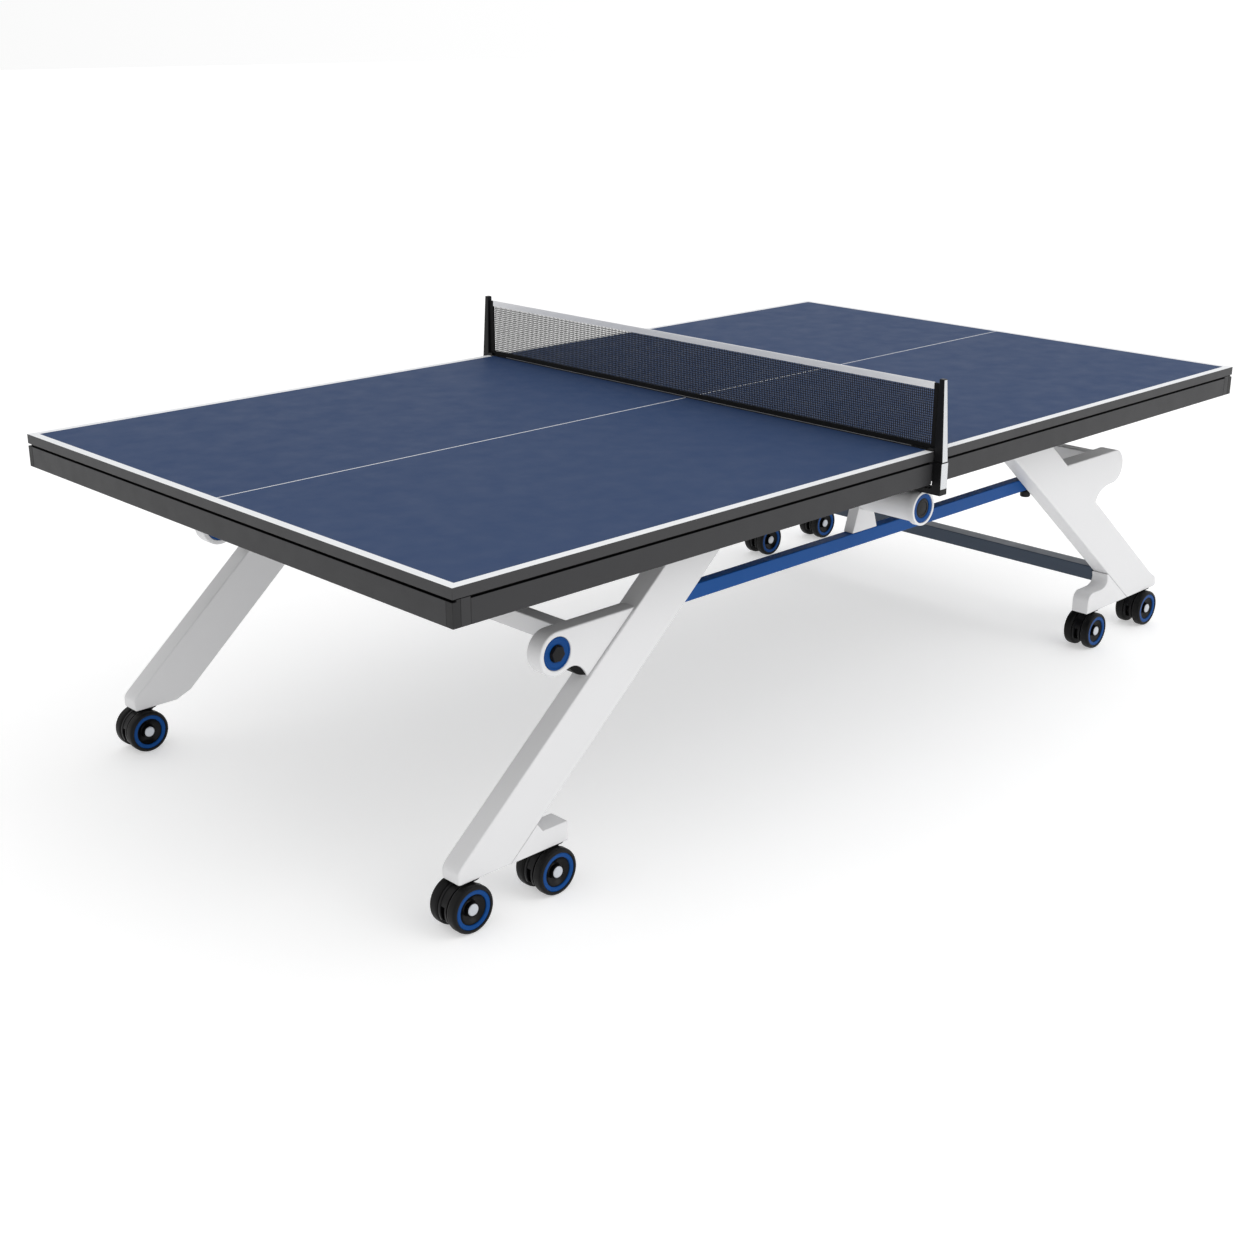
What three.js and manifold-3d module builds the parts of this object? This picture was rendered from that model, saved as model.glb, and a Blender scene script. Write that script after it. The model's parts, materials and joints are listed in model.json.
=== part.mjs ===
// Folding table tennis table on castors.
// Frame: X along the length, Y across the width, Z up, in millimetres. The origin is on the floor under
// the middle of the table. End A is at -X, end B at +X; "near" is -Y, "far" is +Y.
// The undercarriage and the net stay put. Each half of the top is hinged on pins close to the net, and its
// outer end swings up until the two playing surfaces face each other.

import * as THREE from 'three';
import { mergeVertices } from 'three/addons/utils/BufferGeometryUtils.js';
import Module from 'manifold-3d';

const wasm = await Module();
wasm.setup();

// ---- Driving dimensions ----------------------------------------------------------------------------
const LENGTH = 2740;
const WIDTH = 1525;
const HEIGHT = 760;
const NET_HEIGHT = 152.5;
const GAP = 0.3; // clearance between pieces that touch

const HALF_L = LENGTH / 2;
const HALF_W = WIDTH / 2;

const TOP_THICK = 22;
const TOP_SPLIT = 8; // from the middle plane to each half's inner edge
const SHADOW_GAP = 5; // groove between the top and the apron
const APRON_H = 48;
const APRON_W = 40;
const APRON_SPLIT = 12;
const LIP_INSET = 8;
const TOP_UNDER = HEIGHT - TOP_THICK;
const APRON_TOP = TOP_UNDER - SHADOW_GAP;
const APRON_LOW = APRON_TOP - APRON_H;

const HINGE_X = 100;
const HINGE_Z = 726;
const HINGE_R = 10;
const PIN_R = 5;
const HINGE_Y = 420;
const SADDLE_THICK = 12;
const LUG_THICK = 10;

const LEG_Y = 600; // middle of a leg plate
const LEG_THICK = 50;
const LEG_IN = LEG_Y - LEG_THICK / 2;
const LEG_TOP = 688;
const FOOT_Z = 104;

const TUBE_Z = 622;
const TUBE_R = 35;
const TUBE_END = 737;
const COLLAR_R = 40;
const RING_SEAT_R = 34;
const RING_BORE_R = 23;

const RAIL_LOW = 503;
const RAIL_HIGH = 536;
const RAIL_DEEP = 28;

const WHEEL_R = 50;
const WHEEL_HALF_W = 39;
const FORK_HALF_W = 11;
const TRAIL = 18; // how far the axle lies behind the swivel
const AXLE_R = 6;

const SIDES = { near: -1, far: 1 };
const ENDS = { a: -1, b: 1 };

// ---- Finishes --------------------------------------------------------------------------------------
const finish = (color, roughness, metalness = 0) =>
  new THREE.MeshStandardMaterial({ color, roughness, metalness });
const PLAY_BLUE = finish(0x2c3f68, 0.6);
const CHARCOAL = finish(0x2a2a2c, 0.5);
const WHITE = finish(0xe4e4e4, 0.4);
const BLUE = finish(0x1d4c8c, 0.4);
const SLATE = finish(0x4e5866, 0.45);
const BLACK = finish(0x141416, 0.5);
const TYRE = finish(0x1a1a1c, 0.7);
const STEEL = finish(0xc4c7ca, 0.3, 1);
const TAPE = finish(0xf0f0f0, 0.8);
const MESH = finish(0x101010, 0.9);

const table = new THREE.Group();

// ---- Helpers ---------------------------------------------------------------------------------------

// Turns the faces over where a shape has come out inside out.
function outward(geometry) {
  const g = geometry.index ? geometry.toNonIndexed() : geometry;
  const p = g.attributes.position.array;
  let volume = 0;
  for (let i = 0; i < p.length; i += 9) {
    volume += p[i] * (p[i + 4] * p[i + 8] - p[i + 5] * p[i + 7])
      - p[i + 1] * (p[i + 3] * p[i + 8] - p[i + 5] * p[i + 6])
      + p[i + 2] * (p[i + 3] * p[i + 7] - p[i + 4] * p[i + 6]);
  }
  if (volume < 0) {
    for (let i = 0; i < p.length; i += 9) {
      for (let k = 0; k < 3; k += 1) [p[i + 3 + k], p[i + 6 + k]] = [p[i + 6 + k], p[i + 3 + k]];
    }
  }
  return g;
}

function add(name, geometry, material) {
  const mesh = new THREE.Mesh(outward(geometry), material);
  mesh.name = name;
  table.add(mesh);
}

function solid(geometry) {
  const g = outward(geometry).clone();
  g.deleteAttribute('normal');
  g.deleteAttribute('uv');
  const merged = mergeVertices(g, 1e-4);
  const corners = [];
  for (let i = 0; i < merged.index.count; i += 3) {
    const [a, b, c] = [0, 1, 2].map((k) => merged.index.getX(i + k));
    if (a !== b && b !== c && c !== a) corners.push(a, b, c);
  }
  return new wasm.Manifold(new wasm.Mesh({
    numProp: 3,
    vertProperties: new Float32Array(merged.attributes.position.array),
    triVerts: new Uint32Array(corners),
  }));
}

function geometryOf(manifold) {
  const mesh = manifold.getMesh();
  const g = new THREE.BufferGeometry();
  g.setAttribute('position', new THREE.BufferAttribute(new Float32Array(mesh.vertProperties), 3));
  g.setIndex(new THREE.BufferAttribute(new Uint32Array(mesh.triVerts), 1));
  return g;
}

const joined = (...parts) => geometryOf(parts.map(solid).reduce((sum, part) => sum.add(part)));

// A box between two corners, given as ranges along X, Y and Z.
function box([x0, x1], [y0, y1], [z0, z1]) {
  const g = new THREE.BoxGeometry(Math.abs(x1 - x0), Math.abs(y1 - y0), Math.abs(z1 - z0));
  return g.translate((x0 + x1) / 2, (y0 + y1) / 2, (z0 + z1) / 2);
}

// A plate whose outline is drawn in the X-Z plane, between y0 and y1.
function plateXZ(shape, y0, y1, curveSegments = 10) {
  const { shape: rim, holes } = shape.extractPoints(curveSegments);
  const clockwise = THREE.ShapeUtils.isClockWise;
  const flat = new THREE.Shape(clockwise(rim) ? rim.reverse() : rim);
  flat.holes = holes.map((points) => new THREE.Path(clockwise(points) ? points : points.reverse()));
  const g = new THREE.ExtrudeGeometry(flat, { depth: y1 - y0, bevelEnabled: false });
  return g.rotateX(Math.PI / 2).translate(0, y1, 0);
}

// A bar whose section is drawn in the Y-Z plane, between x0 and x1.
function barYZ(shape, x0, x1) {
  const g = new THREE.ExtrudeGeometry(shape, { depth: x1 - x0, bevelEnabled: false });
  const turn = new THREE.Matrix4().makeBasis(
    new THREE.Vector3(0, 1, 0), new THREE.Vector3(0, 0, 1), new THREE.Vector3(1, 0, 0));
  return g.applyMatrix4(turn).translate(x0, 0, 0);
}

const outline = (points) => new THREE.Shape(points.map(([x, z]) => new THREE.Vector2(x, z)));

// A round piece about an axis along Y, from (radius, y) points.
function turned(points, x, z, segments) {
  const g = new THREE.LatheGeometry(points.map(([r, y]) => new THREE.Vector2(r, y)), segments);
  return g.translate(x, 0, z);
}

const ringProfile = (outer, inner, y0, y1) =>
  [[inner, y0], [outer, y0], [outer, y1], [inner, y1], [inner, y0]];

// The range of Y between two distances from the middle plane, on one side.
const span = (side, inner, outer) => (side < 0 ? [-outer, -inner] : [inner, outer]);

// A round hole in an outline, as a polygon whose last point isn't its first again.
function hole(x, z, radius, sides = 28) {
  const turn = (i) => (-2 * Math.PI * i) / sides;
  return new THREE.Path(Array.from({ length: sides }, (_, i) =>
    new THREE.Vector2(x + radius * Math.cos(turn(i)), z + radius * Math.sin(turn(i)))));
}

// ---- Top halves ------------------------------------------------------------------------------------

function sideRail(end, side) {
  const [y0, y1] = span(side, HALF_W - APRON_W, HALF_W);
  const [lip0, lip1] = span(side, HALF_W - APRON_W, HALF_W - LIP_INSET);
  const section = side < 0
    ? [[y0, APRON_LOW], [y1, APRON_LOW], [y1, TOP_UNDER - GAP], [lip0, TOP_UNDER - GAP],
      [lip0, APRON_TOP], [y0, APRON_TOP]]
    : [[y0, APRON_LOW], [y1, APRON_LOW], [y1, APRON_TOP], [lip1, APRON_TOP],
      [lip1, TOP_UNDER - GAP], [y0, TOP_UNDER - GAP]];
  const outer = HALF_L - APRON_W - GAP;
  return end < 0
    ? barYZ(outline(section), -outer, -APRON_SPLIT)
    : barYZ(outline(section), APRON_SPLIT, outer);
}

function endRail(end) {
  const outer = end * HALF_L;
  const inner = end * (HALF_L - APRON_W);
  const lip = end * (HALF_L - LIP_INSET);
  const section = outline([[outer, APRON_LOW], [outer, APRON_TOP], [lip, APRON_TOP],
    [lip, TOP_UNDER - GAP], [inner, TOP_UNDER - GAP], [inner, APRON_LOW]]);
  return plateXZ(section, -HALF_W, HALF_W);
}

// The joist nearest the net carries two lugs that turn on the hinge pins.
function hingeJoist(end) {
  const reach = HALF_W - APRON_W - GAP;
  const beam = box([end * 126, end * 165], [-reach, reach], [700, TOP_UNDER - GAP]);
  const lug = new THREE.Shape();
  lug.moveTo(end * 130, TOP_UNDER - GAP);
  lug.lineTo(end * (HINGE_X - HINGE_R), TOP_UNDER - GAP);
  lug.lineTo(end * (HINGE_X - HINGE_R), HINGE_Z);
  lug.absarc(end * HINGE_X, HINGE_Z, HINGE_R, end < 0 ? 0 : Math.PI, end < 0 ? -Math.PI : 2 * Math.PI, end < 0);
  lug.lineTo(end * 130, 706);
  lug.holes.push(hole(end * HINGE_X, HINGE_Z, PIN_R + GAP));
  const lugs = Object.values(SIDES).map((side) => {
    const inner = HINGE_Y - SADDLE_THICK / 2 - 1 - LUG_THICK;
    return plateXZ(lug, ...span(side, inner, inner + LUG_THICK));
  });
  return joined(beam, ...lugs);
}

for (const [e, end] of Object.entries(ENDS)) {
  const reach = HALF_W - APRON_W - GAP;
  add(`table_top_${e}`, box([end * TOP_SPLIT, end * HALF_L], [-HALF_W, HALF_W], [TOP_UNDER, HEIGHT]), PLAY_BLUE);
  add(`end_rail_${e}`, endRail(end), CHARCOAL);
  for (const [s, side] of Object.entries(SIDES)) add(`side_rail_${s}_${e}`, sideRail(end, side), CHARCOAL);
  add(`hinge_joist_${e}`, hingeJoist(end), CHARCOAL);
  add(`middle_joist_${e}`,
    box([end * 520, end * 600], [-reach, reach], [LEG_TOP + GAP, TOP_UNDER - GAP]), CHARCOAL);
}

// ---- Legs ------------------------------------------------------------------------------------------
// A leg is a straight plate that slants from the foot up and inwards. Each edge is a line through a point.
const BAR_A = { slope: 0.88, outer: { x: -705, z: 631 }, inner: { x: -560, z: 613 } };
const BAR_B = { slope: 0.815, outer: { x: 946, z: 429 }, inner: { x: 523, z: 629 } };
const edgeX = (bar, edge, z) => {
  const lean = bar.outer.x < 0 ? 1 : -1;
  return bar[edge].x + (lean * (z - bar[edge].z)) / bar.slope;
};

const TOE_A = -1270;
function legA(side) {
  const s = new THREE.Shape();
  s.moveTo(edgeX(BAR_A, 'outer', LEG_TOP), LEG_TOP);
  s.lineTo(edgeX(BAR_A, 'inner', LEG_TOP), LEG_TOP);
  if (side < 0) {
    s.lineTo(edgeX(BAR_A, 'inner', FOOT_Z), FOOT_Z);
  } else {
    s.lineTo(edgeX(BAR_A, 'inner', FOOT_Z + 16), FOOT_Z + 16);
    s.lineTo(edgeX(BAR_A, 'inner', FOOT_Z) - 22, FOOT_Z);
  }
  s.lineTo(TOE_A + 8, FOOT_Z);
  s.quadraticCurveTo(TOE_A, FOOT_Z, TOE_A, FOOT_Z + 8);
  s.lineTo(TOE_A, FOOT_Z + 22);
  const shoulder = FOOT_Z + 46;
  s.quadraticCurveTo(TOE_A, FOOT_Z + 31, edgeX(BAR_A, 'outer', shoulder), shoulder);
  return plateXZ(s, ...span(side, LEG_IN, LEG_IN + LEG_THICK), 6);
}

function footA() {
  const end = -988;
  const high = 147;
  const seam = 166;
  const s = outline([[edgeX(BAR_A, 'inner', FOOT_Z) + GAP * 1.5, FOOT_Z], [end, FOOT_Z], [end, high],
    [edgeX(BAR_A, 'inner', seam) + 14, high], [edgeX(BAR_A, 'inner', seam) + GAP * 1.5, seam]]);
  return plateXZ(s, ...span(-1, LEG_IN, LEG_IN + LEG_THICK));
}

// End A: the knuckle is a separate plate, a little thinner than the leg, that juts out from its outer edge.
const KNUCKLE_A = { x: -1005, z: 506, r: 46, inset: 5 };
function knuckleA(side) {
  const { x, z, r, inset } = KNUCKLE_A;
  const low = 437;
  const s = new THREE.Shape();
  s.moveTo(edgeX(BAR_A, 'outer', z + r) - GAP * 1.5, z + r);
  s.lineTo(x, z + r);
  s.absarc(x, z, r, Math.PI / 2, (5 / 3) * Math.PI, false);
  s.quadraticCurveTo(x + 58, z - 26, edgeX(BAR_A, 'outer', low) - GAP * 1.5, low);
  s.holes.push(hole(x, z, 34.3));
  return plateXZ(s, ...span(side, LEG_IN + inset, LEG_IN + LEG_THICK - inset));
}

// End B: the knuckle is in one with the leg plate.
const KNUCKLE_B = { x: 1024, z: 513, r: 46 };
function legB(side) {
  const { x, z, r } = KNUCKLE_B;
  const toe = 1322;
  const s = new THREE.Shape();
  s.moveTo(edgeX(BAR_B, 'inner', LEG_TOP), LEG_TOP);
  s.lineTo(edgeX(BAR_B, 'inner', FOOT_Z), FOOT_Z);
  s.lineTo(toe - 5, FOOT_Z);
  s.lineTo(toe, FOOT_Z + 6);
  s.lineTo(toe - 4, FOOT_Z + 28);
  s.lineTo(edgeX(BAR_B, 'outer', FOOT_Z + 50), FOOT_Z + 50);
  s.lineTo(edgeX(BAR_B, 'outer', 429), 429);
  s.quadraticCurveTo(x - 66, z - 46, x, z - r);
  s.absarc(x, z, r, -Math.PI / 2, Math.PI / 2, false);
  s.lineTo(edgeX(BAR_B, 'outer', z + r), z + r);
  s.lineTo(edgeX(BAR_B, 'outer', LEG_TOP), LEG_TOP);
  return plateXZ(s, ...span(side, LEG_IN, LEG_IN + LEG_THICK), 8);
}

// The foot of end B runs inwards from the leg in an S, with a small lip where it meets the leg's edge.
function footB(side) {
  const heel = 953;
  const seam = GAP * 1.5;
  const s = new THREE.Shape();
  s.moveTo(edgeX(BAR_B, 'inner', FOOT_Z) - seam, FOOT_Z);
  s.lineTo(heel, FOOT_Z);
  s.lineTo(heel, 138);
  s.absarc(heel + 24, 138, 24, Math.PI, Math.PI / 2, true);
  s.lineTo(1020, 162);
  s.quadraticCurveTo(1044, 164, 1047, 184);
  s.lineTo(edgeX(BAR_B, 'inner', 200) - 6, 200);
  s.lineTo(edgeX(BAR_B, 'inner', 200) - seam, 200);
  return plateXZ(s, ...span(side, LEG_IN, LEG_IN + LEG_THICK), 6);
}

for (const [s, side] of Object.entries(SIDES)) {
  add(`leg_${s}_a`, legA(side), WHITE);
  add(`leg_${s}_b`, legB(side), WHITE);
  add(`knuckle_${s}_a`, knuckleA(side), WHITE);
  add(`foot_${s}_b`, footB(side), WHITE);
  const { x, z, inset } = KNUCKLE_A;
  const face = LEG_IN + LEG_THICK - inset;
  const back = LEG_IN + inset;
  add(`knuckle_bush_${s}`, turned(ringProfile(34, 18, ...span(side, back, face - 1)), x, z, 32), BLUE);
  const [y0, y1] = span(side, back, face + 4);
  add(`knuckle_bolt_${s}`, turned([[0, y0], [17.6, y0], [17.6, y1], [0, y1]], x, z, 12), BLACK);
}
add('foot_near_a', footA(), WHITE);

// ---- Cross members and rails -----------------------------------------------------------------------
const bridge = (x, width, low, high, reach) =>
  box([x - width / 2, x + width / 2], [-reach, reach], [low, high]);
add('crossbar_upper_a', bridge(-962, 36, 510, 550, LEG_IN + KNUCKLE_A.inset - GAP), WHITE);
add('crossbar_upper_b', bridge(981, 36, 516, 556, LEG_IN - GAP), WHITE);
add('crossbar_lower_b', bridge(1071, 48, 170, 210, LEG_IN - GAP), SLATE);

const SADDLE_HALF_W = 45;
function tubeSaddle(side) {
  const seat = TUBE_R + GAP;
  const bite = Math.PI / 4;
  const s = new THREE.Shape();
  s.moveTo(-SADDLE_HALF_W, RAIL_HIGH + GAP);
  s.lineTo(SADDLE_HALF_W, RAIL_HIGH + GAP);
  s.lineTo(seat * Math.cos(bite), TUBE_Z - seat * Math.sin(bite));
  s.absarc(0, TUBE_Z, seat, -bite, -Math.PI + bite, true);
  return plateXZ(s, ...span(side, LEG_IN - RAIL_DEEP, LEG_IN - GAP));
}

for (const [s, side] of Object.entries(SIDES)) {
  add(`rail_${s}`, box([-760, 750], span(side, LEG_IN - RAIL_DEEP, LEG_IN - GAP), [RAIL_LOW, RAIL_HIGH]), BLUE);
  add(`tube_saddle_${s}`, tubeSaddle(side), WHITE);
}

// ---- Centre tube and hinge saddles -----------------------------------------------------------------
const tubeHalf = [[TUBE_R, 712], [COLLAR_R, 722], [COLLAR_R, TUBE_END], [RING_SEAT_R, TUBE_END],
  [RING_SEAT_R, 717], [30, 715]];
const tubeProfile = [...tubeHalf.map(([r, y]) => [r, y]), ...tubeHalf.map(([r, y]) => [r, -y]).reverse()];
add('centre_tube', turned([...tubeProfile, tubeProfile[0]], 0, TUBE_Z, 36), WHITE);

// A U-shaped plate on the tube holds a pin for each half.
function hingeSaddle(side) {
  const boss = 42;
  const low = 576;
  const sill = 606;
  const arm = HINGE_R;
  const s = new THREE.Shape();
  s.moveTo(-HINGE_X - arm, low);
  s.lineTo(HINGE_X + arm, low);
  s.lineTo(HINGE_X + arm, HINGE_Z);
  s.absarc(HINGE_X, HINGE_Z, arm, 0, Math.PI, false);
  s.lineTo(HINGE_X - arm, sill);
  const meet = Math.asin((TUBE_Z - sill) / boss);
  s.lineTo(boss * Math.cos(meet), sill);
  s.absarc(0, TUBE_Z, boss, -meet, Math.PI + meet, false);
  s.lineTo(-HINGE_X + arm, sill);
  s.lineTo(-HINGE_X + arm, HINGE_Z);
  s.absarc(-HINGE_X, HINGE_Z, arm, 0, Math.PI, false);
  s.holes.push(hole(0, TUBE_Z, TUBE_R + GAP));
  const outer = HINGE_Y + SADDLE_THICK / 2;
  const pinInner = HINGE_Y - SADDLE_THICK / 2 - LUG_THICK - 3;
  const pins = Object.values(ENDS).map((end) => {
    const [y0, y1] = span(side, pinInner, outer - 1);
    return turned([[0, y0], [PIN_R, y0], [PIN_R, y1], [0, y1]], end * HINGE_X, HINGE_Z, 20);
  });
  return joined(plateXZ(s, ...span(side, outer - SADDLE_THICK, outer), 12), ...pins);
}

for (const [s, side] of Object.entries(SIDES)) {
  add(`hinge_saddle_${s}`, hingeSaddle(side), WHITE);
  add(`tube_ring_${s}`,
    turned(ringProfile(RING_SEAT_R - GAP, RING_BORE_R, ...span(side, 722, TUBE_END - 1)), 0, TUBE_Z, 32), BLUE);
  const [y0, y1] = span(side, 722, TUBE_END - 2);
  const capR = RING_BORE_R - GAP;
  add(`tube_cap_${s}`, turned([[0, y0], [capR, y0], [capR, y1], [0, y1]], 0, TUBE_Z, 28), BLACK);
}

// ---- Net set ---------------------------------------------------------------------------------------
const NET_ARM_HALF_W = 13;
const POST_BASE = 737;
const POST_IN = HALF_W + 1;
const POST_OUT = HALF_W + 25;
const NET_TOP = HEIGHT + NET_HEIGHT;
const POST_TOP = NET_TOP + 10;
const TAPE_DEEP = 15;

function netArm(side) {
  const low = TUBE_Z + COLLAR_R + GAP;
  const bend = 676;
  const section = [[702, low], [POST_OUT, low], [POST_OUT, POST_BASE - GAP], [POST_IN, POST_BASE - GAP],
    [POST_IN, bend], [702, bend]];
  return barYZ(outline(section.map(([y, z]) => [side * y, z])), -NET_ARM_HALF_W, NET_ARM_HALF_W);
}

function netPost(side) {
  const width = 2 * 11;
  const deep = POST_OUT - POST_IN;
  const g = new THREE.BoxGeometry(width, deep, POST_TOP - POST_BASE);
  const p = g.attributes.position;
  for (let i = 0; i < p.count; i += 1) {
    if (p.getZ(i) > 0) {
      p.setX(i, p.getX(i) * 0.6);
      if (p.getY(i) * side > 0) p.setY(i, side * (13 - deep / 2));
    }
  }
  return g.translate(0, (side * (POST_IN + POST_OUT)) / 2, (POST_BASE + POST_TOP) / 2);
}

for (const [s, side] of Object.entries(SIDES)) {
  add(`net_arm_${s}`, netArm(side), BLACK);
  add(`net_post_${s}`, netPost(side), BLACK);
}
const netStrip = (halfThick, low, high) =>
  box([-halfThick, halfThick], [-POST_IN + GAP, POST_IN - GAP], [low, high]);
const NET_LOW = HEIGHT + 8;
add('net_top_tape', netStrip(2.5, NET_TOP - TAPE_DEEP, NET_TOP), TAPE);
add('net', netStrip(0.8, NET_LOW + GAP, NET_TOP - TAPE_DEEP - GAP), MESH);
add('net_bottom_tape', netStrip(1.2, HEIGHT + 1.5, NET_LOW), BLACK);

// ---- Castors ---------------------------------------------------------------------------------------
function castorFork(stemX, stemY) {
  const axleX = stemX - TRAIL;
  const hoodR = 46;
  const hood = new THREE.Shape();
  hood.absarc(axleX, WHEEL_R, hoodR, -Math.PI / 8, Math.PI + Math.PI / 8, false);
  hood.holes.push(hole(axleX, WHEEL_R, AXLE_R + 0.6, 16));
  const web = plateXZ(hood, stemY - FORK_HALF_W, stemY + FORK_HALF_W);
  const plateLow = 100.6;
  const neck = box([stemX - 15, stemX + 12], [stemY - FORK_HALF_W, stemY + FORK_HALF_W], [72, plateLow + 1]);
  const plate = new THREE.CylinderGeometry(24, 24, FOOT_Z - GAP - plateLow, 16);
  plate.rotateX(Math.PI / 2).translate(stemX, stemY, (plateLow + FOOT_Z - GAP) / 2);
  return joined(web, neck, plate);
}

// Two wheels and the axle between them turn as one.
function castorWheels(stemX, stemY) {
  const w = WHEEL_HALF_W;
  const half = [[14, w - 1], [14, w - 5], [33, w - 5], [44, w], [WHEEL_R, w - 5],
    [WHEEL_R, w - 22], [47, w - 25], [AXLE_R, w - 25]];
  const profile = [[0, w - 1], ...half, ...half.map(([r, y]) => [r, -y]).reverse(), [0, 1 - w]];
  return turned(profile, stemX - TRAIL, WHEEL_R, 24).translate(0, stemY, 0);
}

const CASTORS = {
  near_a_outer: [-1226, -1], near_a_inner: [-1008, -1], far_a_outer: [-1226, 1],
  near_b_inner: [1008, -1], near_b_outer: [1283, -1], far_b_inner: [1008, 1], far_b_outer: [1283, 1],
};
for (const [name, [x, side]] of Object.entries(CASTORS)) {
  add(`castor_fork_${name}`, castorFork(x, side * LEG_Y), BLACK);
  add(`castor_wheels_${name}`, castorWheels(x, side * LEG_Y), TYRE);
}

export default table;
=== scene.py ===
# %% [markdown]
# # A folding table tennis table
# The table stands on the floor on seven twin castors. The frame, the legs and the net stay put, and each
# half of the top swings up on pins beside the net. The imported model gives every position; this notebook
# gives each piece its real edges, its small parts and its surface.

# %% Load the frame
import json
import math
import bmesh
import bpy
from mathutils import Matrix, Vector

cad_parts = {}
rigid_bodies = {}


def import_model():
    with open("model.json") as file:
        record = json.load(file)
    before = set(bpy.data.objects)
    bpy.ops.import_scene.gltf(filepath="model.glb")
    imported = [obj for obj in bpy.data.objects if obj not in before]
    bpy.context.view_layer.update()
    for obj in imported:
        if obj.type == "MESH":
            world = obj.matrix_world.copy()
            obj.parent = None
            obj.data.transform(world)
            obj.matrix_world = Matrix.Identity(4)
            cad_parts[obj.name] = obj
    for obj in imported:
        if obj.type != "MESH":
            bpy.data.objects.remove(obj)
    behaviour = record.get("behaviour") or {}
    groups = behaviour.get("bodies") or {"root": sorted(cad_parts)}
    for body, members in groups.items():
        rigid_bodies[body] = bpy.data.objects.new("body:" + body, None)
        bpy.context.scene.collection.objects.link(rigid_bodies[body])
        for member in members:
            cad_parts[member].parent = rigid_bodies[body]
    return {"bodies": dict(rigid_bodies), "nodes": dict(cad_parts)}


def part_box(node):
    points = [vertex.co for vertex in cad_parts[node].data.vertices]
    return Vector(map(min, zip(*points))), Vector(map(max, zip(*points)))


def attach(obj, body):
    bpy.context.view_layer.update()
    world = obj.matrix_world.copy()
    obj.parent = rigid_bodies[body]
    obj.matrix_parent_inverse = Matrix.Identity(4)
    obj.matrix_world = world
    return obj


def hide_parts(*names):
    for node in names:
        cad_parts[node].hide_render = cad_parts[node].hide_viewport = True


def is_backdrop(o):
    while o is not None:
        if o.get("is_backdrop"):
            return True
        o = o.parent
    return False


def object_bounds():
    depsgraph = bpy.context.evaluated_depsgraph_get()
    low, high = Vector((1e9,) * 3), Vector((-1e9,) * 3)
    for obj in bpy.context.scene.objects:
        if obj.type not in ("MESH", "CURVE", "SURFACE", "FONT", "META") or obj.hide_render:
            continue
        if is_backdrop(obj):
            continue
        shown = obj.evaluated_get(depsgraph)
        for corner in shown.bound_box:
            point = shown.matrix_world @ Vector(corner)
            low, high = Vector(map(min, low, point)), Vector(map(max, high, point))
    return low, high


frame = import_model()
cad_low, cad_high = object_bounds()
MM = 0.001
print("CAD box", tuple(round(v, 4) for v in cad_low), tuple(round(v, 4) for v in cad_high))

# %% [markdown]
# ## Camera
# The camera comes first. It stands off the near corner of end A at head height and looks down the length of
# the table. Yaw turns it from +Y towards +X, pitch tips it down, and roll leans it a little. A shift slides
# the frame without turning the camera, so upright edges keep their slope. The floor and the light follow at
# the end, once the table stands.

# %% Camera
scene = bpy.context.scene
scene.view_settings.view_transform = "Standard"
YAW, PITCH, ROLL = 0.794822, 0.330246, 0.008018
CAMERA_PLACE = (-3.0937, -2.9497, 1.6943)
LENS, SENSOR = 49.74, 36
SHIFT_X, SHIFT_Y = -0.0279, -0.0239
ahead = Vector((math.sin(YAW) * math.cos(PITCH), math.cos(YAW) * math.cos(PITCH), -math.sin(PITCH)))
level = Vector((math.cos(YAW), -math.sin(YAW), 0))
above = level.cross(ahead)
right = math.cos(ROLL) * level + math.sin(ROLL) * above
up = -math.sin(ROLL) * level + math.cos(ROLL) * above
camera_data = bpy.data.cameras.new("camera")
camera_data.lens = LENS
camera_data.sensor_width = SENSOR
camera_data.shift_x, camera_data.shift_y = SHIFT_X, SHIFT_Y
camera = bpy.data.objects.new("camera", camera_data)
turn = Matrix((right, up, -ahead)).transposed().to_4x4()
camera.matrix_world = Matrix.Translation(CAMERA_PLACE) @ turn
scene.collection.objects.link(camera)
scene.camera = camera
print("camera at", CAMERA_PLACE)

# %% [markdown]
# ## Colours and materials
# A finish is a colour, a gloss and a relief, and on a real piece none of them is even. Each material here
# starts from one colour, lets noise drift it a little, and uses finer noise for the gloss and the relief. The
# noise is read in the piece's own space, so it stays on the piece when a half of the top swings up.

# %% Colours and nodes
def linear(red, green, blue):
    """A colour given as 0-255 display values."""
    def channel(v):
        v /= 255
        return v / 12.92 if v <= 0.04045 else ((v + 0.055) / 1.055) ** 2.4
    return (channel(red), channel(green), channel(blue), 1)


def node(tree, kind, **settings):
    made = tree.nodes.new("ShaderNode" + kind)
    for name, value in settings.items():
        if name in made.inputs:
            made.inputs[name].default_value = value
        else:
            setattr(made, name, value)
    return made


def noise(tree, scale, detail=3.0, stretch=None):
    """Noise in the piece's own space, so it moves with the piece. Scale is in cells per metre."""
    coords = node(tree, "TexCoord").outputs["Object"]
    if stretch:
        mapping = node(tree, "Mapping")
        mapping.inputs["Scale"].default_value = stretch
        tree.links.new(coords, mapping.inputs["Vector"])
        coords = mapping.outputs["Vector"]
    made = node(tree, "TexNoise", Scale=scale, Detail=detail)
    tree.links.new(coords, made.inputs["Vector"])
    return made.outputs["Fac"]


def blend_colours(tree, factor, low, high):
    mixed = node(tree, "Mix", data_type="RGBA")
    mixed.inputs["A"].default_value, mixed.inputs["B"].default_value = low, high
    tree.links.new(factor, mixed.inputs["Factor"])
    return mixed.outputs["Result"]


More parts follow.
